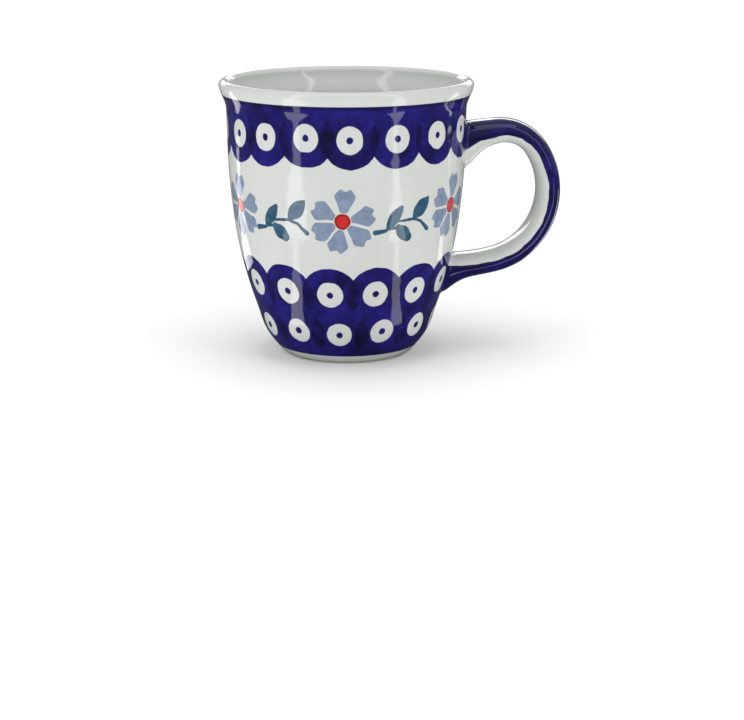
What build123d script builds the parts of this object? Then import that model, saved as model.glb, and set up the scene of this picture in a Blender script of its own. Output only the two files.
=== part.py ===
from build123d import *
from math import cos, exp, radians, sin
import os

# Stoneware mug: a jiggered cup and a pressed strap handle, joined with slip and glazed.
# Origin: centre of the foot, on the table. +Z up the cup's axis, +X through the handle.

# ---- Cup ----
lip_height = 100.0            # highest point of the rolled lip
lip_bead_radius = 2.0         # the lip is a half-round bead
lip_centre_radius = 44.0      # from the cup's axis to the bead's centre
neck_height = 90.0            # below this the wall is nearly upright, above it the lip flares
neck_radius = 43.4
shoulder_height = 62.0
shoulder_radius = 42.4
belly_height = 36.0
belly_radius = 38.6
hip_height = 18.0
hip_radius = 33.3
heel_height = 7.0             # the wall turns in under the belly, towards the foot
heel_radius = 29.0
wall = 4.4                    # horizontal thickness of the wall above the hip
foot_outer_radius = 23.0      # unglazed ring that the mug stands on
foot_ring_width = 3.0
foot_edge_radius = 0.5
foot_slope = 1.1              # how far the wall leans out for each mm it rises, at the foot
recess_depth = 1.6            # hollow under the base, inside the ring
recess_flank = 1.2            # how far the ring's inner flank leans in
floor_height = 6.8            # inside floor of the cup
floor_flat_radius = 15.0      # flat part of the inside floor

# ---- Strap handle ----
strap_width = 18.0            # along Y
strap_thickness = 8.4
root_start = (41.0, 76.6)     # centreline's upper end, X and Z, just inside the wall's face
root_heading = 27.0           # the strap leaves the wall rising at this angle, in degrees
centreline_arcs = (           # radius and turn, in degrees, from the upper root to the lower
    (40.0, 22.0),
    (15.0, 60.0),
    (27.3, 74.0),
    (25.0, 37.0),
    (66.0, 17.0),
)
upper_flare_inside = 4.4      # extra thickness at the upper root, on the finger side
upper_flare_outside = 2.8     # and on the outer side
lower_flare_outside = 6.0     # the lower root sweeps down the wall
upper_flare_length = 7.7      # distance over which each flare dies away
lower_flare_length = 4.9
flare_power = 1.5             # above 1, a flare fades gently at first and faster further out
flared_stretch = 16.0         # length of the closely sectioned stretch at each root
middle_steps = 10             # equal steps between the two flared stretches
root_embed = 4.0              # the strap is drawn this far into the wall, then cut to it

# ---- Slip joints ----
slip_film = 0.5               # slip between the strap's cut end and the wall
slip_shoulder = 1.6           # the slip's fillet spreads this far round the root, inside the wall
slip_at_wall = 1.28           # and this far where it leaves the wall
slip_reach = 2.6              # and runs this far out along the strap
slip_lip = 0.35               # thickness of the slip's outer edge, on the strap
root_wall_distance = 2.0      # how far along its centreline each root leaves the wall

os.makedirs("parts", exist_ok=True)


def draw_outer_wall(margin):
    """Outer side of the cup, from the foot to the lip's outer edge, moved out by margin."""
    foot = (foot_outer_radius + margin, 0)
    neck = (neck_radius + margin, neck_height)
    lip_edge = (lip_centre_radius + lip_bead_radius + margin, lip_height - lip_bead_radius)
    Spline(
        foot,
        (heel_radius + margin, heel_height),
        (hip_radius + margin, hip_height),
        (belly_radius + margin, belly_height),
        (shoulder_radius + margin, shoulder_height),
        neck,
        tangents=[(foot_slope, 1), (0, 1)],
    )
    Spline(neck, lip_edge, tangents=[(0, 1), (0, 1)])
    return lip_edge


def draw_inner_wall():
    """Inner side of the cup, from the lip's inner edge to the flat of the floor."""
    lip_edge = (lip_centre_radius - lip_bead_radius, lip_height - lip_bead_radius)
    neck = (neck_radius - wall, neck_height)
    Spline(lip_edge, neck, tangents=[(0, -1), (0, -1)])
    Spline(
        neck,
        (shoulder_radius - wall, shoulder_height),
        (belly_radius - wall, belly_height),
        (hip_radius - wall, hip_height),
        (floor_flat_radius, floor_height),
        tangents=[(0, -1), (-1, 0)],
    )
    return lip_edge


# ---- Solids filling the cup's outer side, for cutting the strap and the slip to the wall ----
with BuildPart() as strap_cutter:
    with BuildSketch(Plane.XZ):
        with BuildLine():
            lip_edge = draw_outer_wall(slip_film)
            Polyline(lip_edge, (0, lip_edge[1]), (0, 0), (foot_outer_radius + slip_film, 0))
        make_face()
    revolve(axis=Axis.Z)

with BuildPart() as slip_cutter:
    with BuildSketch(Plane.XZ):
        with BuildLine():
            lip_edge = draw_outer_wall(0)
            Polyline(lip_edge, (0, lip_edge[1]), (0, 0), (foot_outer_radius, 0))
        make_face()
    revolve(axis=Axis.Z)


# ---- Mug body ----
with BuildPart() as mug_body:
    foot_inner_radius = foot_outer_radius - foot_ring_width
    with BuildSketch(Plane.XZ):
        with BuildLine():
            outer_edge = draw_outer_wall(0)
            inner_edge = draw_inner_wall()
            ThreePointArc(outer_edge, (lip_centre_radius, lip_height), inner_edge)
            Polyline(
                (floor_flat_radius, floor_height),
                (0, floor_height),
                (0, recess_depth),
                (foot_inner_radius - recess_flank, recess_depth),
                (foot_inner_radius, 0),
                (foot_outer_radius, 0),
            )
        make_face()
    revolve(axis=Axis.Z)
    foot_edges = mug_body.edges().filter_by(GeomType.CIRCLE).group_by(Axis.Z)[0]
    fillet(foot_edges, foot_edge_radius)
mug_body.part.label = "mug_body"
export_step(mug_body.part, "parts/mug_body.step")


# ---- Strap centreline: tangent arcs in the XZ plane ----
strap_length = sum(arc_radius * radians(turn) for arc_radius, turn in centreline_arcs)


def strap_station(distance):
    """Plane across the strap at a distance along its centreline; local Y points outwards."""
    x, z = root_start
    heading = radians(root_heading)
    remaining = distance
    for index, (arc_radius, turn) in enumerate(centreline_arcs):
        step = remaining
        if index < len(centreline_arcs) - 1:
            step = min(remaining, arc_radius * radians(turn))
        new_heading = heading - step / arc_radius
        x += arc_radius * (sin(heading) - sin(new_heading))
        z += arc_radius * (cos(new_heading) - cos(heading))
        heading = new_heading
        remaining -= step
    return Plane(origin=(x, 0, z), x_dir=(0, 1, 0), z_dir=(cos(heading), 0, sin(heading)))


def strap_depth(distance):
    """Strap's thickness on each side of its centreline there: outer side, finger side."""
    from_upper = max(distance, 0)
    from_lower = max(strap_length - distance, 0)
    upper_fade = exp(-((from_upper / upper_flare_length) ** flare_power))
    lower_fade = exp(-((from_lower / lower_flare_length) ** flare_power))
    outside = strap_thickness / 2 + upper_flare_outside * upper_fade + lower_flare_outside * lower_fade
    inside = strap_thickness / 2 + upper_flare_inside * upper_fade
    return outside, inside


# ---- Handle ----
# Cross-sections stand close together in the flared roots and evenly spaced between them
upper_root_stations = (-root_embed, 0, 4, 8, 12)      # distance from the upper end
lower_root_stations = (12, 8, 5, 2.5, 0, -root_embed)  # distance from the lower end
stations = list(upper_root_stations)
for step in range(middle_steps + 1):
    stations.append(flared_stretch + (strap_length - 2 * flared_stretch) * step / middle_steps)
for from_end in lower_root_stations:
    stations.append(strap_length - from_end)

with BuildPart() as handle:
    for distance in stations:
        outside, inside = strap_depth(distance)
        with BuildSketch(strap_station(distance)):
            with Locations((0, (outside - inside) / 2)):
                Ellipse(strap_width / 2, (outside + inside) / 2)
    loft()
    add(strap_cutter.part, mode=Mode.SUBTRACT)
handle.part.label = "handle"
export_step(handle.part, "parts/handle.step")


# ---- Slip joints: the thin film behind each root, and the fillet round it ----
# Each is drawn as a collar: distance along the strap, and how far the slip stands proud there.
collar = (
    (-root_embed, slip_shoulder),
    (root_wall_distance, slip_at_wall),
    (root_wall_distance + slip_reach, slip_lip),
)

with BuildPart() as upper_slip_joint:
    for distance, proud in collar:
        outside, inside = strap_depth(distance)
        with BuildSketch(strap_station(distance)):
            with Locations((0, (outside - inside) / 2)):
                Ellipse(strap_width / 2 + proud, (outside + inside) / 2 + proud)
    loft()
    add(slip_cutter.part, mode=Mode.SUBTRACT)
    add(handle.part, mode=Mode.SUBTRACT)
upper_slip_joint.part.label = "upper_slip_joint"
export_step(upper_slip_joint.part, "parts/upper_slip_joint.step")

with BuildPart() as lower_slip_joint:
    for from_end, proud in collar:
        distance = strap_length - from_end
        outside, inside = strap_depth(distance)
        with BuildSketch(strap_station(distance)):
            with Locations((0, (outside - inside) / 2)):
                Ellipse(strap_width / 2 + proud, (outside + inside) / 2 + proud)
    loft()
    add(slip_cutter.part, mode=Mode.SUBTRACT)
    add(handle.part, mode=Mode.SUBTRACT)
lower_slip_joint.part.label = "lower_slip_joint"
export_step(lower_slip_joint.part, "parts/lower_slip_joint.step")
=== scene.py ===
"""Glazed stoneware mug with stamped cobalt decoration: cup, strap handle, slip joints and stage."""

import functools
from math import atan2, cos, exp, pi, radians, sin, sqrt

import bpy
import bmesh
from bpy.props import FloatProperty, FloatVectorProperty, IntProperty, PointerProperty
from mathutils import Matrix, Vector


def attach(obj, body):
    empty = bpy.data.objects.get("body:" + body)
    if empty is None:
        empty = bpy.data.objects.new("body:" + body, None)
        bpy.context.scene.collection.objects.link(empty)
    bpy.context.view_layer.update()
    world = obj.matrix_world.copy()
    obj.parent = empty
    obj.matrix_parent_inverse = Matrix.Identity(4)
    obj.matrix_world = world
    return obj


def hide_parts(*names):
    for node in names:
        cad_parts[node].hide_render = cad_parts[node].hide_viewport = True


bl_info = {
    "name": "Stoneware mug",
    "version": (1, 0, 0),
    "blender": (4, 5, 0),
    "location": "View3D > Sidebar > Mug",
    "description": "Builds the glazed surfaces, the stamped decoration and the stage of a stoneware mug",
    "category": "Object",
}

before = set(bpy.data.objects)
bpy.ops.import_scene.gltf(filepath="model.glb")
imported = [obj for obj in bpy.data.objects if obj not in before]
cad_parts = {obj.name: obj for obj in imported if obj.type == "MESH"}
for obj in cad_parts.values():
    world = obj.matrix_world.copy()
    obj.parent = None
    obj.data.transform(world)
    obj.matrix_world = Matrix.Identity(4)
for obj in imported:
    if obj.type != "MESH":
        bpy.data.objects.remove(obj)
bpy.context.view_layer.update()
MM = 0.001

# ---- The cup's outline, in millimetres: (height, radius) of the outer wall, foot to neck ----
OUTER_WALL = ((0.0, 23.0), (7.0, 29.0), (18.0, 33.3), (36.0, 38.6), (62.0, 42.4), (90.0, 43.4))
FOOT_SLOPE = 1.1              # radius gained per height at the foot
WALL = 4.4
FLOOR = (6.8, 15.0)           # height, and radius of its flat
LIP_BEAD = (98.0, 44.0, 2.0)  # height and radius of the bead's centre, and the bead's own radius
FOOT_RING_WIDTH = 3.0
RECESS = (1.6, 1.2)           # depth of the hollow under the base, and lean of its flank
NECK_SLOPE = 0.03             # the wall is nearly upright at the neck
LIP_SLOPE = 0.12              # and leans out where the bead begins
HIP_SLOPE = 0.42              # lean of the inner wall where the curve into the floor begins
OUTER_STEP, INNER_STEP, LIP_STEP = 1.3, 1.5, 0.8  # spacing of the rings that make each curve
BOWL_RINGS = 10               # rings round the inside floor's corner
BEAD_RINGS = 16               # steps over the lip's bead
UNDER_RINGS = (5.0, 12.0)     # radii of the rings across the hollow under the base
FLOOR_RINGS = (9.0, 4.0)      # and across the inside floor
RECESS_CORNER = ((0.0, -0.6), (-0.25, 0.0))  # the hollow's corner, softened: added height, radius
RING_INNER_EDGE = ((0.3, -0.2), (0.0, 0.4))
RING_OUTER_EDGE = ((0.0, -0.8), (0.12, -0.3))
OUTER_SKIN = 1.5              # a face within this of the outer line belongs to the outside

# ---- The strap's centreline: upper end, heading, and each arc's radius and turn ----
ROOT_START = (41.0, 76.6)
ROOT_HEADING = 27.0
CENTRELINE_ARCS = ((40.0, 22.0), (15.0, 60.0), (27.3, 74.0), (25.0, 37.0), (66.0, 17.0))
STRAP_LENGTH = sum(radius * radians(turn) for radius, turn in CENTRELINE_ARCS)
UPPER_FLARE = (4.4, 2.8, 7.7)  # finger side, outer side, length over which they die away
LOWER_FLARE = (0.0, 6.0, 4.9)
FLARE_POWER = 1.5             # above 1, a flare fades gently at first and faster further out
STRAP_EMBED = 1.2             # the strap runs on into the wall this far past its ends
STRAP_STEP = 0.9              # spacing of the rings along it
FILLET_STEPS = 7              # facets across the slip's fillet
FILLET_EMBED = (0.3, 0.4)     # the fillet's hidden sides run this far into the wall and the strap
FILLET_SEARCH = (-2.0, 14.0)  # the strap leaves the wall between these distances from its end
FILLET_HALVINGS = 30

# ---- Where the decoration lies: angle from the front in degrees, and height in millimetres ----
HANDLE_ANGLE = 94.2           # the handle's angle from the front
TOP_FRONT = ((-60.5, 83.3), (-40.5, 83.4), (-19, 84.2), (1.5, 83.5), (24, 83.6), (47, 83.6))
MIDDLE_FRONT = ((-61.5, 29), (-35, 28.4), (-9.5, 28), (16, 28.3), (41.5, 28), (67, 29.3))
LOW_FRONT = ((-62, 12.7), (-33, 13.2), (-5, 12.4), (23, 13.4), (51, 13.7))
FLOWER_FRONT = ((-64, 57.2), (-2, 55.3), (61.5, 57.4))
STAMP_COUNTS = (16, 14, 13)   # stamps all round the top, middle and low rows
FLOWER_COUNT = 6
HAND_DRIFT = 0.35             # how far a stamp strays up or down, in a wave round the mug
DRIFT_STEP = 2.4              # radians of that wave from one stamp to the next
BARE_GAP = 2                  # no sprig after this flower: the handle stands there
NO_SPRIG = 500.0              # shifts a gap's sprig out of sight, in millimetres
SPRIG_HEIGHT = 54.6
AXIS_RADIUS = 0.01            # a point nearer to the axis than this has no angle of its own


def linear(hex_colour):
    """sRGB hex, such as 2B2A8F, to a linear colour with alpha."""
    channels = [int(hex_colour[i:i + 2], 16) / 255 for i in (0, 2, 4)]
    return [c / 12.92 if c <= 0.04045 else ((c + 0.055) / 1.055) ** 2.4 for c in channels] + [1.0]


def add_node(tree, kind, inputs=None, output=None, **settings):
    """Adds a node with its settings and links; gives the named output, or the first one in use."""
    node = tree.nodes.new(kind)
    for name, value in settings.items():
        setattr(node, name, value)
    for name, value in (inputs or {}).items():
        if isinstance(value, bpy.types.NodeSocket):
            tree.links.new(value, node.inputs[name])
        else:
            node.inputs[name].default_value = value
    in_use = [socket for socket in node.outputs if socket.enabled]
    return node.outputs[output] if output else next(iter(in_use), None)


# ---- Shape helpers ----
def smooth_line(points, first_slope, last_slope, spacing):
    """Points at about this spacing on a smooth curve through (height, radius) points; the slopes
    at its ends are radius gained over height gained."""
    slopes = [first_slope]
    for before, here, after in zip(points, points[1:], points[2:]):
        rise_a, rise_b = here[0] - before[0], after[0] - here[0]
        slope_a = (here[1] - before[1]) / rise_a
        slope_b = (after[1] - here[1]) / rise_b
        slopes.append((slope_a * rise_b + slope_b * rise_a) / (rise_a + rise_b))
    slopes.append(last_slope)
    line = [points[0]]
    for (z0, r0), (z1, r1), m0, m1 in zip(points, points[1:], slopes, slopes[1:]):
        rise = z1 - z0
        count = max(2, round(abs(rise) / spacing))
        for i in range(1, count + 1):
            t = i / count
            radius = (
                (1 + 2 * t) * (1 - t) ** 2 * r0
                + t * (1 - t) ** 2 * rise * m0
                + t * t * (3 - 2 * t) * r1
                + t * t * (t - 1) * rise * m1
            )
            line.append((z0 + rise * t, radius))
    return line


def wall_radius(height):
    """Outer radius of the cup at a height."""
    line = OUTSIDE_LINE
    for (z0, r0), (z1, r1) in zip(line, line[1:]):
        if height <= z1:
            return r0 + (r1 - r0) * (height - z0) / (z1 - z0)
    return line[-1][1]


def lip_bead():
    """Points over the lip's bead, from its outer side to its inner side, without those two."""
    height, radius, bead = LIP_BEAD
    angles = [pi * i / BEAD_RINGS for i in range(1, BEAD_RINGS)]
    return [(height + bead * sin(a), radius + bead * cos(a)) for a in angles]


NECK = OUTER_WALL[-1]
LIP_HEIGHT, LIP_RADIUS, LIP_BEAD_RADIUS = LIP_BEAD
OUTSIDE_LINE = smooth_line(OUTER_WALL, FOOT_SLOPE, NECK_SLOPE, OUTER_STEP)
LIP_EDGE = (LIP_HEIGHT, LIP_RADIUS + LIP_BEAD_RADIUS)
OUTSIDE_LINE += smooth_line((NECK, LIP_EDGE), NECK_SLOPE, LIP_SLOPE, LIP_STEP)[1:]


def strap_station(distance):
    """X and Z of the strap's centreline at a distance along it, and its heading."""
    x, z = ROOT_START
    heading = radians(ROOT_HEADING)
    remaining = distance
    for index, (radius, turn) in enumerate(CENTRELINE_ARCS):
        step = remaining
        if index < len(CENTRELINE_ARCS) - 1:
            step = min(remaining, radius * radians(turn))
        new_heading = heading - step / radius
        x += radius * (sin(heading) - sin(new_heading))
        z += radius * (cos(new_heading) - cos(heading))
        heading = new_heading
        remaining -= step
    return x, z, heading


def strap_point(distance, around, sizes):
    """Point on the strap's skin: around is 0 at the +Y edge and rises through the outer face."""
    x, z, heading = strap_station(distance)
    upper_fade = exp(-((max(distance, 0) / UPPER_FLARE[2]) ** FLARE_POWER))
    lower_fade = exp(-((max(STRAP_LENGTH - distance, 0) / LOWER_FLARE[2]) ** FLARE_POWER))
    c, s = cos(around), sin(around)
    power = 2 / sizes.squareness
    across = abs(c) ** power * (1 if c > 0 else -1) * sizes.strap_width / MM / 2
    side = 1 if s > 0 else 0
    depth = sizes.strap_thickness / MM / 2
    depth += UPPER_FLARE[side] * upper_fade + LOWER_FLARE[side] * lower_fade
    out = abs(s) ** power * (1 if s > 0 else -1) * depth
    return Vector((x - out * sin(heading), across, z + out * cos(heading)))


def new_object(name, mesh):
    """Puts a mesh in the scene as an object at the origin, and makes it the active one."""
    piece = bpy.data.objects.new(name, mesh)
    bpy.context.scene.collection.objects.link(piece)
    bpy.ops.object.select_all(action="DESELECT")
    piece.select_set(True)
    bpy.context.view_layer.objects.active = piece
    return piece


def settle(piece, nodes):
    """Hangs a finished piece on the frame."""
    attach(piece, "root")
    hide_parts(*nodes)


# ---- Sizes and colours ----
class MugSizes(bpy.types.PropertyGroup):
    """Sizes that a user would change."""

    round_segments: IntProperty(
        name="Segments", description="Segments round the cup", default=288, min=48
    )
    strap_segments: IntProperty(
        name="Strap segments", description="Segments round the strap", default=72, min=16
    )
    strap_width: FloatProperty(
        name="Strap width", description="Width of the handle", default=0.018, unit="LENGTH"
    )
    strap_thickness: FloatProperty(
        name="Strap thickness", description="Thickness of the handle", default=0.0084, unit="LENGTH"
    )
    squareness: FloatProperty(
        name="Squareness", description="2 is an oval strap, more is squarer", default=2.5, min=2
    )
    slip_spread: FloatProperty(
        name="Slip spread", description="Reach of the slip's fillet", default=0.0016, unit="LENGTH"
    )


def colour_property(name, description, hex_colour):
    """A colour setting with an sRGB default."""
    return FloatVectorProperty(
        name=name, description=description, subtype="COLOR", size=4, default=linear(hex_colour)
    )


class MugColours(bpy.types.PropertyGroup):
    """Colours that a user would change."""

    glaze: colour_property("Glaze", "Clear glaze over the pale body", "CACDCA")
    foot: colour_property("Foot", "Bare stoneware of the foot ring", "CFC8B8")
    cobalt: colour_property("Cobalt", "Cobalt as stamped and brushed", "1C1762")
    cobalt_deep: colour_property("Deep cobalt", "Cobalt where coats overlap", "0D0A2C")
    cobalt_thin: colour_property("Thin cobalt", "Cobalt where the coat is thin", "262484")
    petal: colour_property("Petals", "Grey-blue petals", "8190A8")
    petal_deep: colour_property("Deep petals", "Petals where the colour pooled", "6A7B97")
    leaf: colour_property("Leaves", "Teal leaves and stems", "27485F")
    red: colour_property("Flower centre", "Red centre of each flower", "BE2C2A")


# ---- Decoration attributes ----
@functools.lru_cache(maxsize=None)
def climb_to(height):
    """Distance up the outer wall's line from the foot to a height."""
    climb = 0.0
    for (z0, r0), (z1, r1) in zip(OUTSIDE_LINE, OUTSIDE_LINE[1:]):
        length = sqrt((z1 - z0) ** 2 + (r1 - r0) ** 2)
        if height <= z1:
            return climb + length * (height - z0) / (z1 - z0)
        climb += length
    return climb


def along_wall(height):
    """Distance up the wall, worked out once for each hundredth of a millimetre."""
    return climb_to(round(height, 2))


def spread_marks(front, count):
    """Marks set out one by one at the front, then evenly spread round the rest of the wall."""
    marks = list(front)
    left = count - len(front)
    step = (front[0][0] + 360 - front[-1][0]) / (left + 1)
    middle = sum(height for angle, height in front) / len(front)
    for index in range(1, left + 1):
        marks.append((front[-1][0] + step * index, middle + HAND_DRIFT * sin(DRIFT_STEP * index)))
    return marks


def nearest_gap(angle, marks):
    """Index of the mark at or before an angle, with the angles past each of the two marks."""
    count = len(marks)
    for index in range(count):
        here = marks[index][0]
        after = marks[(index + 1) % count][0] + (360 if index == count - 1 else 0)
        past = (angle - here) % 360
        if past < after - here:
            return index, past, past - (after - here)
    return 0, 0.0, 0.0


def paint_coordinates(mesh):
    """Stores each row's own coordinates, in millimetres, on the cup's face corners."""
    fronts = {"top_row": TOP_FRONT, "middle_row": MIDDLE_FRONT, "low_row": LOW_FRONT}
    rows = {
        name: spread_marks(front, count)
        for (name, front), count in zip(fronts.items(), STAMP_COUNTS)
    }
    flowers = spread_marks(FLOWER_FRONT, FLOWER_COUNT)
    names = (*rows, "flower", "sprig")
    values = {name: [] for name in names}
    outside = []
    outer_faces = [item.value for item in mesh.attributes["outer_wall"].data]
    for face in mesh.polygons:
        centre = face.center / MM
        middle = atan2(centre.y, centre.x) * 180 / pi + HANDLE_ANGLE
        gaps = {name: nearest_gap(middle, marks) for name, marks in rows.items()}
        index, past, short = nearest_gap(middle, flowers)
        first_half = past < -short
        from_flower = past if first_half else short
        flower = index if first_half else (index + 1) % FLOWER_COUNT
        shift = NO_SPRIG if index == BARE_GAP else 0.0
        for corner in face.loop_indices:
            point = mesh.vertices[mesh.loops[corner].vertex_index].co / MM
            radius = sqrt(point.x ** 2 + point.y ** 2)
            turn = 0.0
            if radius > AXIS_RADIUS:
                angle = atan2(point.y, point.x) * 180 / pi + HANDLE_ANGLE
                turn = (angle - middle + 180) % 360 - 180
            climb = along_wall(point.z)
            outside.append(outer_faces[face.index])
            for name, marks in rows.items():
                row_index, row_past, row_short = gaps[name]
                low, high = marks[row_index][1], marks[(row_index + 1) % len(marks)][1]
                row_height = low + (high - low) * (row_past + turn) / (row_past - row_short)
                values[name] += [
                    radians(row_past + turn) * radius,
                    radians(row_short + turn) * radius,
                    climb - along_wall(row_height),
                ]
            values["flower"] += [
                radians(from_flower + turn) * radius,
                climb - along_wall(flowers[flower][1]),
                0.0,
            ]
            from_middle = past + turn - (past - short) / 2
            values["sprig"] += [
                radians(from_middle) * radius + shift,
                climb - along_wall(SPRIG_HEIGHT),
                0.0,
            ]
    for name in names:
        mesh.attributes.new(name, "FLOAT_VECTOR", "CORNER")
        mesh.attributes[name].data.foreach_set("vector", values[name])
    mesh.attributes.new("outside", "FLOAT", "CORNER")
    mesh.attributes["outside"].data.foreach_set("value", outside)


# ---- Materials ----
MATH = "ShaderNodeMath"
VECTOR = "ShaderNodeVectorMath"
RANGE = "ShaderNodeMapRange"
MIX = "ShaderNodeMix"
NOISE = "ShaderNodeTexNoise"
SPLIT = "ShaderNodeSeparateXYZ"
JOIN = "ShaderNodeCombineXYZ"
SMOOTH = {"interpolation_type": "SMOOTHSTEP"}  # makes a range ease in and out

# Uneven tones: grain in millimetres, detail, lowest and highest value
TONES = {
    "ivory": (14.0, 2.0, 0.0, 0.35),    # warmer drifts in the clear glaze
    "ripple": (7.0, 1.0, 0.0, 0.5),     # slight waves left by the melt
    "cloud": (6.0, 3.0, 0.0, 1.0),      # thick and thin cobalt
    "fine": (1.6, 2.0, 0.0, 1.0),       # sponge texture within it
    "pooled": (9.0, 2.0, -0.2, 0.75),   # where cobalt ran together
    "patchy": (3.2, 2.0, 0.2, 1.0),     # how fully overlaps darken
    "washed": (2.6, 3.0, 0.0, 1.0),     # brushed petals and leaves
    "waver": (5.0, 2.0, -0.06, 0.06),   # the brush's edge along the handle
    "brushed": (11.0, 1.0, 0.6, 1.0),   # heavier cobalt on the handle
    "paper": (30.0, 2.0, 0.0, 0.04),    # mottle of the floor
}
NOISE_SPREAD = (0.3, 0.7)     # the noise's own usual range, stretched to the tone's
NOISE_ROUGHNESS = 0.55
PLAIN_COAT = ("ivory", "ripple")
COBALT_COAT = ("cloud", "fine", "pooled", "patchy")

# Levels on the cup: height in millimetres, and half the width of the soft edge. The mask is 1
# above the level, or below it where the second number is negative.
LEVELS = {
    "under_lip": (95.2, -0.12),
    "dark_line": (93.9, 0.25),
    "over_dots": (84.0, 0.2),
    "upper_half": (60.0, 0.5),
    "lower_half": (60.0, -0.5),
    "under_dots": (29.0, -0.2),
    "over_low_row": (18.0, 0.2),
    "over_foot": (3.3, 0.12),
    "foot_ring": (0.35, -0.15),
}

# Stamps: radius of the blue lobe, the white disc and its eye, in millimetres
ROW_RADII = {
    "top_row": (10.2, 4.55, 1.15),
    "middle_row": (10.3, 4.6, 1.2),
    "low_row": (10.3, 4.4, 1.2),
}
STAMP_SQUASH = (1.0, 0.93, 1.0)  # discs stand a little taller than wide
STAMP_EDGE = 0.14             # softness of a stamp's edge
BRUSH_EDGE = 0.12             # softness of a brush stroke's edge
WANDER_GRAIN = 3.5            # stamp edges wander over this distance
WANDER_REACH = 0.7            # and by up to about half of this
WANDER_DETAIL = 2.0
ROOT_RINGS = ((76.2, 11.0), (30.0, 11.4))  # height and half-height of the blue round each root
ROOT_RING_HALF_WIDTH = 11.2
ROOT_RING_EDGE = 0.02         # softness of its edge, as a share of its size
ROOT_DISC_LIMIT = 11.0        # no white discs nearer to the handle's middle plane than this
ROOT_DISC_EDGE = 0.2          # softness of that limit
HANDLE_SIDE_EDGE = 1.0        # and of the plane that parts the handle's side from the other

# A petal, in millimetres from the flower's centre
PETAL_START = 3.1
PETAL_BASE = (3.0, 0.95)      # distance out, and half-width there
PETAL_WIDEST = (11.0, 4.9)
PETAL_LENGTH = 11.6
PETAL_NOTCH = (1.9, 0.85)     # half-width and depth of the notch in its end
PETAL_SHOULDER = (1.6, 4.6, 3.0)  # the end slopes back between these half-widths, by this much
PETAL_ROUNDING = 1.6
PETAL_ANGLES = (84.0, 12.0, -42.0, -102.0, -154.0, 154.0)
PETAL_COVER = 0.96
FLOWER_CENTRE = 2.85          # radius of the red centre
CENTRE_RIM = (2.2, 0.5)       # radius where its darker rim begins, and the rim's softness

# Strokes of a sprig: start, end, half-widths at the ends, and swelling, in millimetres from its middle
SPRIG_STROKES = (
    ((-11.4, -3.6), (-7.6, -3.0), 0.95, 0.6, 0.0),   # stem, in five strokes
    ((-7.6, -3.0), (-3.2, 0.0), 0.55, 0.5, 0.0),
    ((-3.2, 0.0), (3.0, 0.5), 0.5, 0.55, 0.0),
    ((3.0, 0.5), (6.4, -0.7), 0.55, 0.55, 0.0),
    ((6.4, -0.7), (9.6, -3.9), 0.55, 0.8, 0.0),
    ((-7.4, -2.6), (-2.2, 4.9), 0.2, 0.9, 1.6),      # upper leaf
    ((-6.8, -2.7), (-2.8, -1.9), 0.35, 0.6, 0.1),    # stalk of the lower leaf, then the leaf
    ((-3.0, -2.2), (0.8, -5.7), 1.2, 1.85, 0.9),
    ((2.7, 0.5), (9.6, 7.9), 0.2, 0.1, 2.5),         # pointed leaf
)

WHITE_SIDE = -0.25            # the handle's white begins this share of the depth towards the fingers
WHITE_EDGE = 0.03             # softness of where it begins
RIPPLE_DEPTH, RIPPLE_STRENGTH = 0.4, 0.35  # the melt's relief, in millimetres, and how much shows
GLAZE_ROUGHNESS = 0.07
BARE_ROUGHNESS = 0.75
GLAZE_IOR = 1.5
WARM_GLAZE = "C0C3BC"
RED_RIM = "861D1F"
LEAF_LIGHT = "3B6078"


def soft_edge(level, softness):
    """Limits of a range that falls from 1 to 0 across a level, or rises if softness is negative."""
    return {"From Min": level + softness, "From Max": level - softness}


def uneven_tones(tree, here, names):
    """The named tones, each a noise in the object's own space stretched to its range."""
    tones = {}
    for name in names:
        grain, detail, low, high = TONES[name]
        pattern = {"Scale": 1 / (grain * MM), "Detail": detail, "Roughness": NOISE_ROUGHNESS}
        noise = add_node(tree, NOISE, {"Vector": here, **pattern})
        spread = {"From Min": NOISE_SPREAD[0], "From Max": NOISE_SPREAD[1], "To Min": low, "To Max": high}
        tones[name] = add_node(tree, RANGE, {"Value": noise, **spread})
    return tones


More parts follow.
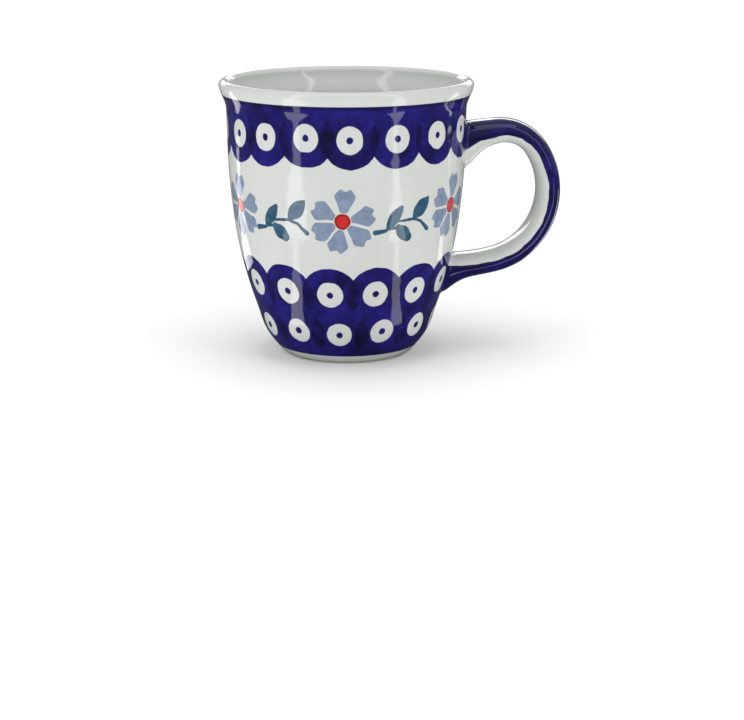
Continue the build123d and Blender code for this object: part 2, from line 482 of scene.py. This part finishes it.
def stroke_group():
    """One brush stroke: a tapered line from one point to another that may swell in between."""
    group = bpy.data.node_groups.new("brush_stroke", "ShaderNodeTree")
    for name, kind in (
        ("Place", "NodeSocketVector"),
        ("Start", "NodeSocketVector"),
        ("End", "NodeSocketVector"),
        ("Start Width", "NodeSocketFloat"),
        ("End Width", "NodeSocketFloat"),
        ("Swell", "NodeSocketFloat"),
    ):
        group.interface.new_socket(name, in_out="INPUT", socket_type=kind)
    group.interface.new_socket("Mask", in_out="OUTPUT", socket_type="NodeSocketFloat")
    given = add_node(group, "NodeGroupInput").node.outputs
    span = add_node(group, VECTOR, {0: given["End"], 1: given["Start"]}, operation="SUBTRACT")
    reach = add_node(group, VECTOR, {0: given["Place"], 1: given["Start"]}, operation="SUBTRACT")
    along = add_node(group, VECTOR, {0: reach, 1: span}, operation="DOT_PRODUCT")
    whole = add_node(group, VECTOR, {0: span, 1: span}, operation="DOT_PRODUCT")
    share = add_node(group, MATH, {0: along, 1: whole}, operation="DIVIDE", use_clamp=True)
    foot = add_node(group, VECTOR, {0: span, "Scale": share}, operation="SCALE")
    gap = add_node(group, VECTOR, {0: reach, 1: foot}, operation="DISTANCE")
    ends = {"To Min": given["Start Width"], "To Max": given["End Width"]}
    taper = add_node(group, RANGE, {"Value": share, **ends})
    # Share times remainder is at most a quarter, halfway along, and four times that makes 1
    left = add_node(group, MATH, {0: 1.0, 1: share}, operation="SUBTRACT")
    bulge = add_node(group, MATH, {0: share, 1: left}, operation="MULTIPLY")
    bulge = add_node(group, MATH, {0: bulge, 1: 4.0}, operation="MULTIPLY")
    bulge = add_node(group, MATH, {0: bulge, 1: given["Swell"]}, operation="MULTIPLY")
    width = add_node(group, MATH, {0: taper, 1: bulge}, operation="ADD")
    beyond = add_node(group, MATH, {0: gap, 1: width}, operation="SUBTRACT")
    mask = add_node(group, RANGE, {"Value": beyond, **soft_edge(0.0, BRUSH_EDGE)}, **SMOOTH)
    add_node(group, "NodeGroupOutput", {"Mask": mask})
    return group


def petal_group():
    """One notched petal that points along +X from the flower's centre."""
    group = bpy.data.node_groups.new("petal", "ShaderNodeTree")
    group.interface.new_socket("Place", in_out="INPUT", socket_type="NodeSocketVector")
    group.interface.new_socket("Turn", in_out="INPUT", socket_type="NodeSocketFloat")
    group.interface.new_socket("Mask", in_out="OUTPUT", socket_type="NodeSocketFloat")
    given = add_node(group, "NodeGroupInput").node.outputs
    turned = add_node(
        group,
        "ShaderNodeVectorRotate",
        {"Vector": given["Place"], "Angle": given["Turn"], "Axis": (0, 0, 1)},
        rotation_type="AXIS_ANGLE",
    )
    parts = add_node(group, SPLIT, {0: turned}).node.outputs
    out = parts["X"]
    side = add_node(group, MATH, {0: parts["Y"]}, operation="ABSOLUTE")
    # The petal widens evenly from its narrow base to a blunt end with a shallow notch in it
    (base, base_width), (widest, widest_width) = PETAL_BASE, PETAL_WIDEST
    half_width = add_node(
        group,
        RANGE,
        {"Value": out, "From Min": base, "From Max": widest, "To Min": base_width, "To Max": widest_width},
    )
    past_end = add_node(group, MATH, {0: out, 1: PETAL_LENGTH}, operation="SUBTRACT")
    notch_width, notch_depth = PETAL_NOTCH
    shoulder_start, shoulder_end, shoulder_depth = PETAL_SHOULDER
    for start, end, depth, end_depth in (
        (0.0, notch_width, notch_depth, 0.0),
        (shoulder_start, shoulder_end, 0.0, shoulder_depth),
    ):
        cut = add_node(
            group,
            RANGE,
            {"Value": side, "From Min": start, "From Max": end, "To Min": depth, "To Max": end_depth},
            **SMOOTH,
        )
        past_end = add_node(group, MATH, {0: past_end, 1: cut}, operation="ADD")
    past_side = add_node(group, MATH, {0: side, 1: half_width}, operation="SUBTRACT")
    corners = {0: past_side, 1: past_end, 2: PETAL_ROUNDING}
    shape = add_node(group, MATH, corners, operation="SMOOTH_MAX")
    before_base = add_node(group, MATH, {0: PETAL_START, 1: out}, operation="SUBTRACT")
    shape = add_node(group, MATH, {0: shape, 1: before_base}, operation="MAXIMUM")
    mask = add_node(group, RANGE, {"Value": shape, **soft_edge(0.0, BRUSH_EDGE)}, **SMOOTH)
    add_node(group, "NodeGroupOutput", {"Mask": mask})
    return group


def stamp_row(tree, name, wobble):
    """Masks of one row of stamps: blue lobes, their overlaps, white discs and blue eyes."""
    place = add_node(tree, "ShaderNodeAttribute", output="Vector", attribute_name=name)
    place = add_node(tree, VECTOR, {0: place, 1: wobble}, operation="ADD")
    parts = add_node(tree, SPLIT, {0: place}).node.outputs
    lobe_radius, disc_radius, eye_radius = ROW_RADII[name]
    pairs = {"lobes": [], "discs": [], "eyes": []}
    for side in ("X", "Y"):
        flat = add_node(tree, JOIN, {"X": parts[side], "Y": parts["Z"]})
        squashed = add_node(tree, VECTOR, {0: flat, 1: STAMP_SQUASH}, operation="MULTIPLY")
        for kind, spot, radius in (
            ("lobes", flat, lobe_radius),
            ("discs", squashed, disc_radius),
            ("eyes", squashed, eye_radius),
        ):
            reach = add_node(tree, VECTOR, {0: spot}, operation="LENGTH")
            edge = soft_edge(radius, STAMP_EDGE)
            pairs[kind].append(add_node(tree, RANGE, {"Value": reach, **edge}, **SMOOTH))
    row = {}
    for kind, (left, right) in pairs.items():
        row[kind] = add_node(tree, MATH, {0: left, 1: right}, operation="MAXIMUM")
    left, right = pairs["lobes"]
    row["overlaps"] = add_node(tree, MATH, {0: left, 1: right}, operation="MULTIPLY")
    return row


def start_material(name):
    """A material with an empty node tree."""
    material = bpy.data.materials.new(name)
    material.use_nodes = True
    material.node_tree.nodes.clear()
    return material, material.node_tree


def finish_glaze(tree, colour, ripple, roughness):
    """Thick clear glaze: hard reflections, and a faint ripple left by the melt."""
    relief = {"Height": ripple, "Distance": RIPPLE_DEPTH * MM, "Strength": RIPPLE_STRENGTH}
    relief = add_node(tree, "ShaderNodeBump", relief)
    shader = add_node(
        tree,
        "ShaderNodeBsdfPrincipled",
        {"Base Color": colour, "Roughness": roughness, "IOR": GLAZE_IOR, "Normal": relief},
    )
    add_node(tree, "ShaderNodeOutputMaterial", {"Surface": shader})


def cobalt_coat(tree, tones, seams, colours):
    """Cobalt brushed and sponged under the glaze: cloudy, and darker where coats overlap."""
    thin = add_node(tree, MATH, {0: tones["cloud"], 1: tones["fine"]}, operation="MULTIPLY")
    seam = add_node(tree, MATH, {0: seams, 1: tones["patchy"]}, operation="MULTIPLY")
    blue = list(colours.cobalt)
    for mask, tint in (
        (thin, colours.cobalt_thin),
        (tones["pooled"], colours.cobalt_deep),
        (seam, colours.cobalt_deep),
    ):
        blue = add_node(tree, MIX, {0: mask, 6: blue, 7: list(tint)}, data_type="RGBA")
    return blue


def decorated_glaze(colours):
    """Salt-white stoneware glaze over hand-stamped cobalt bands, flowers and sprigs: hard,
    wet-looking gloss, with cloudy blue and slightly uneven stamp edges."""
    material, tree = start_material("decorated_stoneware_glaze")
    here = add_node(tree, "ShaderNodeTexCoord", output="Object")
    tones = uneven_tones(tree, here, (*PLAIN_COAT, *COBALT_COAT, "washed"))
    place = add_node(tree, VECTOR, {0: here, "Scale": 1 / MM}, operation="SCALE")
    place = add_node(tree, SPLIT, {0: place}).node.outputs
    outside = add_node(tree, "ShaderNodeAttribute", output="Fac", attribute_name="outside")
    grain = {"Vector": here, "Scale": 1 / (WANDER_GRAIN * MM), "Detail": WANDER_DETAIL}
    wander = add_node(tree, NOISE, grain, output="Color")
    wander = add_node(tree, VECTOR, {0: wander, 1: (0.5, 0.5, 0.5)}, operation="SUBTRACT")
    wobble = add_node(tree, VECTOR, {0: wander, "Scale": WANDER_REACH}, operation="SCALE")
    level = {}
    for name, (height, softness) in LEVELS.items():
        edge = soft_edge(height, -softness)
        level[name] = add_node(tree, RANGE, {"Value": place["Z"], **edge}, **SMOOTH)

    rows = {name: stamp_row(tree, name, wobble) for name in ROW_RADII}
    stamps = {}
    for kind in ("discs", "eyes", "overlaps"):
        low = add_node(
            tree, MATH, {0: rows["middle_row"][kind], 1: rows["low_row"][kind]}, operation="MAXIMUM"
        )
        low = add_node(tree, MATH, {0: low, 1: level["lower_half"]}, operation="MULTIPLY")
        top = {0: rows["top_row"][kind], 1: level["upper_half"]}
        top = add_node(tree, MATH, top, operation="MULTIPLY")
        stamps[kind] = add_node(tree, MATH, {0: top, 1: low}, operation="MAXIMUM")

    # Cobalt bands: from the dark line under the lip to the top lobes, and from the middle lobes
    # to the foot; then a brushed ring that frames each root of the handle
    cobalt_parts = []
    for row, plain, *limits in (
        ("top_row", "over_dots", "under_lip", "upper_half"),
        ("middle_row", "under_dots", "over_foot", "lower_half"),
    ):
        band = add_node(tree, MATH, {0: level[plain], 1: rows[row]["lobes"]}, operation="MAXIMUM")
        for limit in limits:
            band = add_node(tree, MATH, {0: band, 1: level[limit]}, operation="MULTIPLY")
        cobalt_parts.append(band)
    edge = soft_edge(0.0, -HANDLE_SIDE_EDGE)
    handle_side = add_node(tree, RANGE, {"Value": place["X"], **edge}, **SMOOTH)
    for root_height, half_height in ROOT_RINGS:
        lift = add_node(tree, MATH, {0: place["Z"], 1: root_height}, operation="SUBTRACT")
        oval = add_node(tree, JOIN, {"X": lift, "Y": place["Y"]})
        shrink = (1 / half_height, 1 / ROOT_RING_HALF_WIDTH, 0.0)
        oval = add_node(tree, VECTOR, {0: oval, 1: shrink}, operation="MULTIPLY")
        reach = add_node(tree, VECTOR, {0: oval}, operation="LENGTH")
        edge = soft_edge(1.0, ROOT_RING_EDGE)
        ring = add_node(tree, RANGE, {"Value": reach, **edge}, **SMOOTH)
        ring = add_node(tree, MATH, {0: ring, 1: handle_side}, operation="MULTIPLY")
        cobalt_parts.append(ring)
    cobalt = 0.0
    for part in cobalt_parts:
        cobalt = add_node(tree, MATH, {0: part, 1: cobalt}, operation="MAXIMUM")
    seams = {0: stamps["overlaps"], 1: level["dark_line"]}
    seams = add_node(tree, MATH, seams, operation="MAXIMUM")
    blue = cobalt_coat(tree, tones, seams, colours)

    # White discs and blue eyes, left out where the handle's roots cover the wall
    from_middle = add_node(tree, MATH, {0: place["Y"]}, operation="ABSOLUTE")
    edge = soft_edge(ROOT_DISC_LIMIT, ROOT_DISC_EDGE)
    by_root = add_node(tree, RANGE, {"Value": from_middle, **edge}, **SMOOTH)
    for limit in (handle_side, level["over_low_row"]):
        by_root = add_node(tree, MATH, {0: by_root, 1: limit}, operation="MULTIPLY")
    clear_of_root = add_node(tree, MATH, {0: 1.0, 1: by_root}, operation="SUBTRACT")
    discs = add_node(tree, MATH, {0: stamps["discs"], 1: clear_of_root}, operation="MULTIPLY")
    eyes = add_node(tree, MATH, {0: stamps["eyes"], 1: discs}, operation="MULTIPLY")

    # Flowers and sprigs
    spots = {}
    for name in ("flower", "sprig"):
        spot = add_node(tree, "ShaderNodeAttribute", output="Vector", attribute_name=name)
        spots[name] = add_node(tree, VECTOR, {0: spot, 1: wobble}, operation="ADD")
    petal = petal_group()
    petals = 0.0
    for angle in PETAL_ANGLES:
        given = {"Place": spots["flower"], "Turn": radians(-angle)}
        one = add_node(tree, "ShaderNodeGroup", given, node_tree=petal)
        petals = add_node(tree, MATH, {0: one, 1: petals}, operation="MAXIMUM")
    stroke = stroke_group()
    leaves = 0.0
    for start, end, start_width, end_width, swell in SPRIG_STROKES:
        given = {"Place": spots["sprig"], "Start": (*start, 0.0), "End": (*end, 0.0)}
        given.update({"Start Width": start_width, "End Width": end_width, "Swell": swell})
        one = add_node(tree, "ShaderNodeGroup", given, node_tree=stroke)
        leaves = add_node(tree, MATH, {0: one, 1: leaves}, operation="MAXIMUM")
    beside_petals = add_node(tree, MATH, {0: 1.0, 1: petals}, operation="SUBTRACT")
    leaves = add_node(tree, MATH, {0: leaves, 1: beside_petals}, operation="MINIMUM")
    petals = add_node(tree, MATH, {0: petals, 1: PETAL_COVER}, operation="MULTIPLY")
    reach = add_node(tree, VECTOR, {0: spots["flower"]}, operation="LENGTH")
    centre = []
    for radius, softness in (CENTRE_RIM, (FLOWER_CENTRE, STAMP_EDGE)):
        edge = soft_edge(radius, softness)
        centre.append(add_node(tree, RANGE, {"Value": reach, **edge}, **SMOOTH))

    # Each paint's own two tones, then the paints in the order they are laid
    glaze, petal_paint, leaf_paint, red = (
        add_node(tree, MIX, {0: mask, 6: below, 7: above}, data_type="RGBA")
        for mask, below, above in (
            (tones["ivory"], list(colours.glaze), linear(WARM_GLAZE)),
            (tones["washed"], list(colours.petal), list(colours.petal_deep)),
            (tones["washed"], list(colours.leaf), linear(LEAF_LIGHT)),
            (centre[0], linear(RED_RIM), list(colours.red)),
        )
    )
    colour = glaze
    for mask, paint in (
        (cobalt, blue),
        (discs, glaze),
        (eyes, blue),
        (petals, petal_paint),
        (centre[1], red),
        (leaves, leaf_paint),
    ):
        colour = add_node(tree, MIX, {0: mask, 6: colour, 7: paint}, data_type="RGBA")

    # Inside, lip and foot are plain glaze; the ring that it stands on is bare
    colour = add_node(tree, MIX, {0: outside, 6: glaze, 7: colour}, data_type="RGBA")
    bare = level["foot_ring"]
    colour = add_node(tree, MIX, {0: bare, 6: colour, 7: list(colours.foot)}, data_type="RGBA")
    limits = {"To Min": GLAZE_ROUGHNESS, "To Max": BARE_ROUGHNESS}
    roughness = add_node(tree, RANGE, {"Value": bare, **limits})
    finish_glaze(tree, colour, tones["ripple"], roughness)
    return material


def handle_glaze(colours):
    """Cobalt brushed on the strap's outer face and sides under clear glaze; bare white within."""
    material, tree = start_material("brushed_cobalt_handle_glaze")
    here = add_node(tree, "ShaderNodeTexCoord", output="Object")
    tones = uneven_tones(tree, here, (*PLAIN_COAT, *COBALT_COAT, "waver", "brushed"))
    skin = add_node(tree, "ShaderNodeAttribute", output="Vector", attribute_name="skin")
    depth = add_node(tree, SPLIT, {0: skin})
    depth = add_node(tree, MATH, {0: depth, 1: tones["waver"]}, operation="ADD")
    edge = soft_edge(WHITE_SIDE, WHITE_EDGE)
    white = add_node(tree, RANGE, {"Value": depth, **edge}, **SMOOTH)
    blue = cobalt_coat(tree, tones, tones["brushed"], colours)
    warm = {0: tones["ivory"], 6: list(colours.glaze), 7: linear(WARM_GLAZE)}
    glaze = add_node(tree, MIX, warm, data_type="RGBA")
    colour = add_node(tree, MIX, {0: white, 6: blue, 7: glaze}, data_type="RGBA")
    finish_glaze(tree, colour, tones["ripple"], GLAZE_ROUGHNESS)
    return material


# ---- Operators ----
class MUG_OT_cup(bpy.types.Operator):
    """Lathes the cup: underside, foot ring, outer wall, lip, inner wall and floor"""

    bl_idname = "mug.cup"
    bl_label = "Cup"

    def execute(self, context):
        sizes, colours = context.scene.mug_sizes, context.scene.mug_colours
        foot_radius = OUTER_WALL[0][1]
        ring_inside = foot_radius - FOOT_RING_WIDTH
        recess_depth, recess_lean = RECESS
        flank_top = ring_inside - recess_lean
        # Underside: hollow, its rounded corner and flank, and the flat ring with softened edges
        under = [(recess_depth, radius) for radius in UNDER_RINGS]
        for (height, radius), softening in (
            ((recess_depth, flank_top), RECESS_CORNER),
            ((0.0, ring_inside), RING_INNER_EDGE),
            ((0.0, foot_radius), RING_OUTER_EDGE),
        ):
            under += [(height + rise, radius + spread) for rise, spread in softening]
        # Inside, from the lip down the wall, round the floor's corner and in to the middle
        inner_points = [(z, r - WALL) for z, r in OUTER_WALL[2:]]
        bead_inside = (LIP_HEIGHT, LIP_RADIUS - LIP_BEAD_RADIUS)
        flare_in = smooth_line((inner_points[-1], bead_inside), NECK_SLOPE, LIP_SLOPE, LIP_STEP)[::-1]
        inside = smooth_line(inner_points, HIP_SLOPE, NECK_SLOPE, INNER_STEP)[::-1]
        floor_height, floor_radius = FLOOR
        corner_z, corner_r = inner_points[0]
        bend_z, bend_r = floor_height, corner_r - HIP_SLOPE * (corner_z - floor_height)
        bowl = []
        for i in range(1, BOWL_RINGS + 1):
            t = i / BOWL_RINGS
            bowl.append((
                (1 - t) ** 2 * corner_z + 2 * t * (1 - t) * bend_z + t * t * floor_height,
                (1 - t) ** 2 * corner_r + 2 * t * (1 - t) * bend_r + t * t * floor_radius,
            ))
        floor = [(floor_height, radius) for radius in FLOOR_RINGS]
        line = under + OUTSIDE_LINE[1:] + lip_bead() + flare_in + inside[1:] + bowl + floor

        bpy.ops.object.select_all(action="DESELECT")
        start_z, start_r = line[0]
        bpy.ops.mesh.primitive_circle_add(
            vertices=sizes.round_segments,
            radius=start_r * MM,
            fill_type="TRIFAN",
            location=(0, 0, start_z * MM),
        )
        cup = context.active_object
        bpy.ops.object.transform_apply(location=True, rotation=True, scale=True)
        bpy.ops.object.mode_set(mode="EDIT")
        mesh = bmesh.from_edit_mesh(cup.data)
        for vertex in mesh.verts:  # the rim's vertices, but not the fan's middle
            vertex.select = len(vertex.link_faces) == 2
        mesh.select_mode = {"VERT"}
        mesh.select_flush_mode()
        bpy.ops.mesh.select_mode(type="EDGE")
        for (z0, r0), (z1, r1) in zip(line, line[1:]):
            bpy.ops.mesh.extrude_edges_move(TRANSFORM_OT_translate={"value": (0, 0, (z1 - z0) * MM)})
            bpy.ops.transform.resize(value=(r1 / r0, r1 / r0, 1), center_override=(0, 0, z1 * MM))
        bpy.ops.mesh.edge_face_add()
        bpy.ops.mesh.poke()
        bpy.ops.mesh.select_all(action="SELECT")
        bpy.ops.mesh.normals_make_consistent(inside=False)
        bpy.ops.object.mode_set(mode="OBJECT")
        cup.name = "glazed_cup"

        flags = cup.data.attributes.new("outer_wall", "FLOAT", "FACE").data
        for face in cup.data.polygons:
            centre = face.center / MM
            radius = sqrt(centre.x ** 2 + centre.y ** 2)
            outwards = face.normal.x * centre.x + face.normal.y * centre.y > 0
            near_outside = radius > wall_radius(centre.z) - OUTER_SKIN
            on_wall = under[-1][0] < centre.z < LIP_HEIGHT and outwards and near_outside
            flags[face.index].value = 1.0 if on_wall else 0.0
        paint_coordinates(cup.data)
        bpy.ops.object.shade_smooth()
        cup.data.materials.clear()
        cup.data.materials.append(decorated_glaze(colours))
        settle(cup, ["mug_body"])
        return {"FINISHED"}


def ring_mesh(name, rings, closed_ends):
    """Skin over rings of points, each ring joined to the next; ends may be capped."""
    shape = bmesh.new()
    rows = [[shape.verts.new(point * MM) for point in ring] for ring in rings]
    count = len(rings[0])
    for row, after in zip(rows, rows[1:]):
        for i in range(count):
            j = (i + 1) % count
            shape.faces.new((row[i], row[j], after[j], after[i]))
    if closed_ends:
        shape.faces.new(rows[0][::-1])
        shape.faces.new(rows[-1])
    else:
        for i in range(count):
            j = (i + 1) % count
            shape.faces.new((rows[-1][i], rows[-1][j], rows[0][j], rows[0][i]))
    bmesh.ops.recalc_face_normals(shape, faces=shape.faces)
    mesh = bpy.data.meshes.new(name)
    shape.to_mesh(mesh)
    shape.free()
    return mesh


def strap_angles(count):
    """Angles round the strap's section, evenly spread."""
    return [2 * pi * i / count for i in range(count)]


def store_depth(mesh, angles, ring_count, sizes):
    """Stores how far through the strap each point lies: -1 on the finger side, 1 on the outer."""
    skin = mesh.attributes.new("skin", "FLOAT_VECTOR", "POINT").data
    power = 2 / sizes.squareness
    for ring in range(ring_count):
        for i, angle in enumerate(angles):
            depth = abs(sin(angle)) ** power * (1 if sin(angle) > 0 else -1)
            skin[ring * len(angles) + i].vector = (depth, 0.0, 0.0)


class MUG_OT_handle(bpy.types.Operator):
    """Draws the strap handle along its centreline, flared at both roots"""

    bl_idname = "mug.handle"
    bl_label = "Handle"

    def execute(self, context):
        sizes, colours = context.scene.mug_sizes, context.scene.mug_colours
        angles = strap_angles(sizes.strap_segments)
        whole = STRAP_LENGTH + 2 * STRAP_EMBED
        count = round(whole / STRAP_STEP)
        distances = [whole * i / count - STRAP_EMBED for i in range(count + 1)]
        rings = [[strap_point(d, a, sizes) for a in angles] for d in distances]
        strap = new_object("glazed_handle", ring_mesh("glazed_handle", rings, True))
        store_depth(strap.data, angles, len(rings), sizes)
        bpy.ops.object.shade_smooth()
        strap.data.materials.append(handle_glaze(colours))
        settle(strap, ["handle"])
        return {"FINISHED"}


class MUG_OT_slip_joints(bpy.types.Operator):
    """Lays a fillet of slip round each root, where the strap meets the wall"""

    bl_idname = "mug.slip_joints"
    bl_label = "Slip joints"

    def execute(self, context):
        sizes, colours = context.scene.mug_sizes, context.scene.mug_colours
        material = handle_glaze(colours)
        angles = strap_angles(sizes.strap_segments)
        for name, node, upper in (
            ("upper_slip_fillet", "upper_slip_joint", True),
            ("lower_slip_fillet", "lower_slip_joint", False),
        ):
            sections = [self.fillet_section(angle, upper, sizes) for angle in angles]
            rings = list(zip(*sections))
            fillet = new_object(name, ring_mesh(name, rings, False))
            store_depth(fillet.data, angles, len(rings), sizes)
            bpy.ops.object.shade_smooth()
            fillet.data.materials.append(material)
            settle(fillet, [node])
        return {"FINISHED"}

    def fillet_section(self, angle, upper, sizes):
        """Closed outline across the fillet at one angle round the strap."""
        spread = sizes.slip_spread / MM

        def skin_point(step):
            distance = step if upper else STRAP_LENGTH - step
            return strap_point(distance, angle, sizes)

        def outside_by(point):
            return sqrt(point.x ** 2 + point.y ** 2) - wall_radius(point.z)

        # Halve the stretch again and again to find where the strap leaves the wall
        low, high = FILLET_SEARCH
        for _ in range(FILLET_HALVINGS):
            middle = (low + high) / 2
            if outside_by(skin_point(middle)) > 0:
                high = middle
            else:
                low = middle
        meet = skin_point(high)
        on_strap = skin_point(high + spread)
        x, z, _ = strap_station(high if upper else STRAP_LENGTH - high)
        core = Vector((x, 0, z))
        slope = wall_radius(meet.z + 0.5) - wall_radius(meet.z - 0.5)
        normal = (Vector((meet.x, meet.y, 0)).normalized() - Vector((0, 0, slope))).normalized()
        away = meet - core
        away = (away - normal * away.dot(normal)).normalized()
        on_wall = meet + away * spread
        reach = wall_radius(on_wall.z) / sqrt(on_wall.x ** 2 + on_wall.y ** 2)
        on_wall = Vector((on_wall.x * reach, on_wall.y * reach, on_wall.z))
        inwards = (core - meet).normalized()
        shallow, deep = FILLET_EMBED
        outline = [on_wall - normal * shallow]
        for i in range(FILLET_STEPS + 1):
            t = i / FILLET_STEPS
            outline.append(on_wall * (1 - t) ** 2 + meet * 2 * t * (1 - t) + on_strap * t * t)
        outline.append(on_strap + inwards * shallow)
        outline.append(meet + inwards * deep - normal * shallow)
        return outline


# Lights: name, angle from the front in degrees, distance, height, size, power, and whether it
# lies on the table facing up. An upright wall seen from a little above reflects the table, so the
# strips that lie there show as tall streaks; the camera doesn't see them.
LIGHTS = (
    ("left_strip", -46, 0.97, 0.55, (0.15, 1.1), 1.4, False),
    ("right_strip", 46, 0.92, 0.55, (0.1, 1.1), 1.05, False),
    ("overhead", 0, 0.1, 1.3, (1.2, 1.2), 4.2, False),
    ("back_panel", 180, 2.6, 0.72, (3.2, 0.5), 13.0, False),
    ("left_near_strip", -47, 0.083, 0.004, (0.012, 0.08), 0.007, True),
    ("left_far_strip", -47, 0.45, 0.004, (0.06, 0.65), 0.33, True),
    ("right_near_strip", 46, 0.083, 0.004, (0.009, 0.08), 0.005, True),
    ("right_far_strip", 46, 0.45, 0.004, (0.04, 0.65), 0.22, True),
    ("left_edge_strip", -124, 0.3, 0.004, (0.05, 0.4), 0.16, True),
    ("right_edge_strip", 114, 0.3, 0.004, (0.05, 0.4), 0.16, True),
)
LIGHT_AIM_HEIGHT = 0.05
SURROUND_DIRECT = 0.8         # the white surround's brightness, seen directly
SURROUND_REFLECTED = 0.26     # and in reflections, as if flagged
FLOOR_SIZE = 12.0
PAPER = ("FEFEFD", "F7F7F6")  # the floor's two tones
FLAGGED_PAPER = "565656"      # and its colour in reflections
CAMERA_DISTANCE = 0.706       # from the mug's axis, level with the table
CAMERA_HEIGHT = 0.1777
CAMERA_TURN = 4.2             # degrees round the axis from -Y, towards -X
CAMERA_LOOKS_DOWN = 14.49     # degrees below level
CAMERA_AIM_ASIDE = 0.75       # degrees that it aims past the axis
CAMERA_LENS, CAMERA_SENSOR = 94.46, 36.0  # in millimetres
CAMERA_NEAREST = 0.01         # it sees nothing nearer than this


class MUG_OT_stage(bpy.types.Operator):
    """Sets the pale floor, the soft studio lights and the camera"""

    bl_idname = "mug.stage"
    bl_label = "Stage"

    def execute(self, context):
        scene = context.scene
        bpy.ops.object.select_all(action="DESELECT")
        bpy.ops.mesh.primitive_plane_add(size=FLOOR_SIZE)
        floor = context.active_object
        floor.name = "floor"
        material, tree = start_material("pale_paper_floor")
        here = add_node(tree, "ShaderNodeTexCoord", output="Object")
        mottle = uneven_tones(tree, here, ("paper",))["paper"]
        papers = {0: mottle, 6: linear(PAPER[0]), 7: linear(PAPER[1])}
        colour = add_node(tree, MIX, papers, data_type="RGBA")
        pale = add_node(tree, "ShaderNodeBsdfDiffuse", {"Color": colour})
        # In reflections the table is as dark as under a studio flag, so that the cobalt reads deep
        flagged = add_node(tree, "ShaderNodeBsdfDiffuse", {"Color": linear(FLAGGED_PAPER)})
        reflected = add_node(tree, "ShaderNodeLightPath", output="Is Glossy Ray")
        both = add_node(tree, "ShaderNodeMixShader", {0: reflected, 1: pale, 2: flagged})
        add_node(tree, "ShaderNodeOutputMaterial", {"Surface": both})
        floor.data.materials.append(material)

        world = bpy.data.worlds.new("white_studio")
        scene.world = world
        world.use_nodes = True
        sky = world.node_tree
        sky.nodes.clear()
        reflected = add_node(sky, "ShaderNodeLightPath", output="Is Glossy Ray")
        brightness = {"To Min": SURROUND_DIRECT, "To Max": SURROUND_REFLECTED}
        strength = add_node(sky, RANGE, {"Value": reflected, **brightness})
        white = (1.0, 1.0, 1.0, 1.0)
        surround = add_node(sky, "ShaderNodeBackground", {"Color": white, "Strength": strength})
        add_node(sky, "ShaderNodeOutputWorld", {"Surface": surround})
        scene.view_settings.view_transform = "Standard"

        for name, angle, reach, height, size, power, faces_up in LIGHTS:
            light = bpy.data.lights.new(name, "AREA")
            light.shape = "RECTANGLE"
            light.size, light.size_y = size
            light.energy = power
            lamp = bpy.data.objects.new(name, light)
            away = radians(angle - HANDLE_ANGLE)
            lamp.location = (reach * cos(away), reach * sin(away), height)
            if faces_up:
                lamp.rotation_euler = (pi, 0, away - pi / 2)
                lamp.visible_camera = False
            else:
                aim = Vector((0, 0, LIGHT_AIM_HEIGHT)) - lamp.location
                lamp.rotation_euler = aim.to_track_quat("-Z", "Y").to_euler()
            scene.collection.objects.link(lamp)

        turn = radians(CAMERA_TURN)
        camera = bpy.data.cameras.new("camera")
        camera.sensor_width = CAMERA_SENSOR
        camera.lens = CAMERA_LENS
        camera.clip_start = CAMERA_NEAREST
        viewpoint = bpy.data.objects.new("camera", camera)
        viewpoint.location = (-CAMERA_DISTANCE * sin(turn), -CAMERA_DISTANCE * cos(turn), CAMERA_HEIGHT)
        tilt = radians(90 - CAMERA_LOOKS_DOWN)
        viewpoint.rotation_euler = (tilt, 0, -(turn + radians(CAMERA_AIM_ASIDE)))
        scene.collection.objects.link(viewpoint)
        scene.camera = viewpoint
        return {"FINISHED"}


class MUG_PT_panel(bpy.types.Panel):
    """Sidebar panel with the mug's settings and steps"""

    bl_label = "Stoneware mug"
    bl_idname = "MUG_PT_panel"
    bl_space_type = "VIEW_3D"
    bl_region_type = "UI"
    bl_category = "Mug"

    def draw(self, context):
        for settings in (context.scene.mug_sizes, context.scene.mug_colours):
            for name in settings.__annotations__:
                self.layout.prop(settings, name)
        for step in STEPS:
            self.layout.operator(step.bl_idname)


STEPS = (MUG_OT_cup, MUG_OT_handle, MUG_OT_slip_joints, MUG_OT_stage)
CLASSES = (MugSizes, MugColours, *STEPS, MUG_PT_panel)


def register():
    for each in CLASSES:
        bpy.utils.register_class(each)
    bpy.types.Scene.mug_sizes = PointerProperty(type=MugSizes)
    bpy.types.Scene.mug_colours = PointerProperty(type=MugColours)


def unregister():
    del bpy.types.Scene.mug_sizes
    del bpy.types.Scene.mug_colours
    for each in reversed(CLASSES):
        bpy.utils.unregister_class(each)


def main():
    register()
    bpy.ops.mug.cup()
    bpy.ops.mug.handle()
    bpy.ops.mug.slip_joints()
    bpy.ops.mug.stage()


if __name__ == "__main__":
    main()
